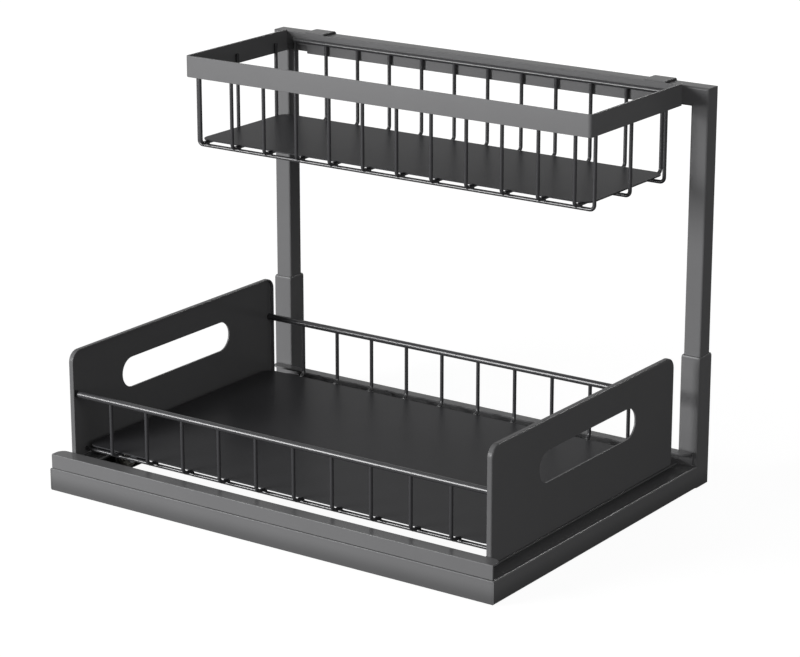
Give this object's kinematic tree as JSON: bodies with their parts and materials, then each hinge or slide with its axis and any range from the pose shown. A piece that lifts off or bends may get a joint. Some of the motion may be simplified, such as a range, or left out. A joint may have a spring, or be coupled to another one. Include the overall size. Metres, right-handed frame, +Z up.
{
  "type": "under sink organizer",
  "caption": "Two-tier dark metal organizer: roll-out wire tray between slotted side panels on a low base frame, and a wire basket hooked over a plug-in rear frame",
  "frame": {"origin": "on the floor, in the middle of the whole footprint", "axes": "+X to the right of somebody who stands in front of it, +Y to the back, +Z up; the tray pulls out towards -Y"},
  "size_m": [0.36, 0.27, 0.28],
  "materials": {
    "frame_paint": "satin powder coat",
    "panel_paint": "satin powder coat",
    "wire_paint": "semi-gloss powder coat",
    "floor_paint": "matt powder coat",
    "pad_rubber": "matt",
    "roller_nylon": "satin",
    "pin_zinc": "zinc plated"
  },
  "bodies": {
    "base": {"base_rail_left": "frame_paint", "base_rail_right": "frame_paint", "base_front_bar": "frame_paint", "base_rear_bar": "frame_paint", "rear_ledge": "frame_paint", "post_sleeve_left": "frame_paint", "post_sleeve_right": "frame_paint", "foot_pads": "pad_rubber", "roller_bracket_left": "frame_paint", "roller_bracket_right": "frame_paint", "front_roller_pins": "pin_zinc"},
    "tray": {"tray_front_bar": "frame_paint", "tray_side_left": "panel_paint", "tray_side_right": "panel_paint", "tray_cross_sheet": "panel_paint", "rear_roller_pins": "pin_zinc", "side_panel_left": "panel_paint", "side_panel_right": "panel_paint", "tray_front_rail": "wire_paint", "tray_rear_rail": "wire_paint", "tray_foot_wire_front": "wire_paint", "tray_foot_wire_rear": "wire_paint", "tray_wire_1": "wire_paint", "tray_wire_2": "wire_paint", "tray_wire_3": "wire_paint", "tray_wire_4": "wire_paint", "tray_wire_5": "wire_paint", "tray_wire_6": "wire_paint", "tray_wire_7": "wire_paint", "tray_wire_8": "wire_paint", "tray_wire_9": "wire_paint", "tray_wire_10": "wire_paint", "tray_floor": "floor_paint"},
    "rear_frame": {"upright_left": "frame_paint", "upright_right": "frame_paint", "crossbar": "frame_paint"},
    "basket": {"basket_rim": "frame_paint", "hook_plate": "frame_paint", "basket_rear_wire": "wire_paint", "basket_wire_1": "wire_paint", "basket_wire_2": "wire_paint", "basket_wire_3": "wire_paint", "basket_wire_4": "wire_paint", "basket_wire_5": "wire_paint", "basket_wire_6": "wire_paint", "basket_wire_7": "wire_paint", "basket_wire_8": "wire_paint", "basket_wire_9": "wire_paint", "basket_wire_10": "wire_paint", "basket_wire_11": "wire_paint", "basket_wire_12": "wire_paint", "basket_long_wire_front": "wire_paint", "basket_long_wire_middle": "wire_paint", "basket_long_wire_rear": "wire_paint", "basket_floor": "floor_paint"},
    "front_wheel_left": {"front_roller_left": "roller_nylon"},
    "front_wheel_right": {"front_roller_right": "roller_nylon"},
    "rear_wheel_left": {"rear_roller_left": "roller_nylon"},
    "rear_wheel_right": {"rear_roller_right": "roller_nylon"}
  },
  "joints": [
    {"name": "tray_slide", "type": "slide", "parent": "base", "child": "tray", "axis": [0, -1, 0], "range_m": [0, 0.14]},
    {"name": "front_roller_left_spin", "type": "hinge", "parent": "base", "child": "front_wheel_left", "pos_m": [-0.158, -0.08, 0.0131], "axis": [1, 0, 0], "range_deg": [0, 1260]},
    {"name": "rear_roller_left_spin", "type": "hinge", "parent": "tray", "child": "rear_wheel_left", "pos_m": [-0.167, 0.095, 0.0087], "axis": [1, 0, 0], "range_deg": [0, 1260]},
    {"name": "front_roller_right_spin", "type": "hinge", "parent": "base", "child": "front_wheel_right", "pos_m": [0.158, -0.08, 0.0131], "axis": [1, 0, 0], "range_deg": [0, 1260]},
    {"name": "rear_roller_right_spin", "type": "hinge", "parent": "tray", "child": "rear_wheel_right", "pos_m": [0.167, 0.095, 0.0087], "axis": [1, 0, 0], "range_deg": [0, 1260]},
    {"name": "frame_lift", "type": "slide", "parent": "base", "child": "rear_frame", "axis": [0, 0, 1], "range_m": [0, 0.085]},
    {"name": "basket_lift", "type": "slide", "parent": "rear_frame", "child": "basket", "axis": [0, 0, 1], "range_m": [0, 0.04]}
  ],
  "couplings": [
    {"joint": "front_roller_left_spin", "follows": "tray_slide", "rad_per_m": 156.25},
    {"joint": "rear_roller_left_spin", "follows": "tray_slide", "rad_per_m": 156.25},
    {"joint": "front_roller_right_spin", "follows": "tray_slide", "rad_per_m": 156.25},
    {"joint": "rear_roller_right_spin", "follows": "tray_slide", "rad_per_m": 156.25}
  ]
}
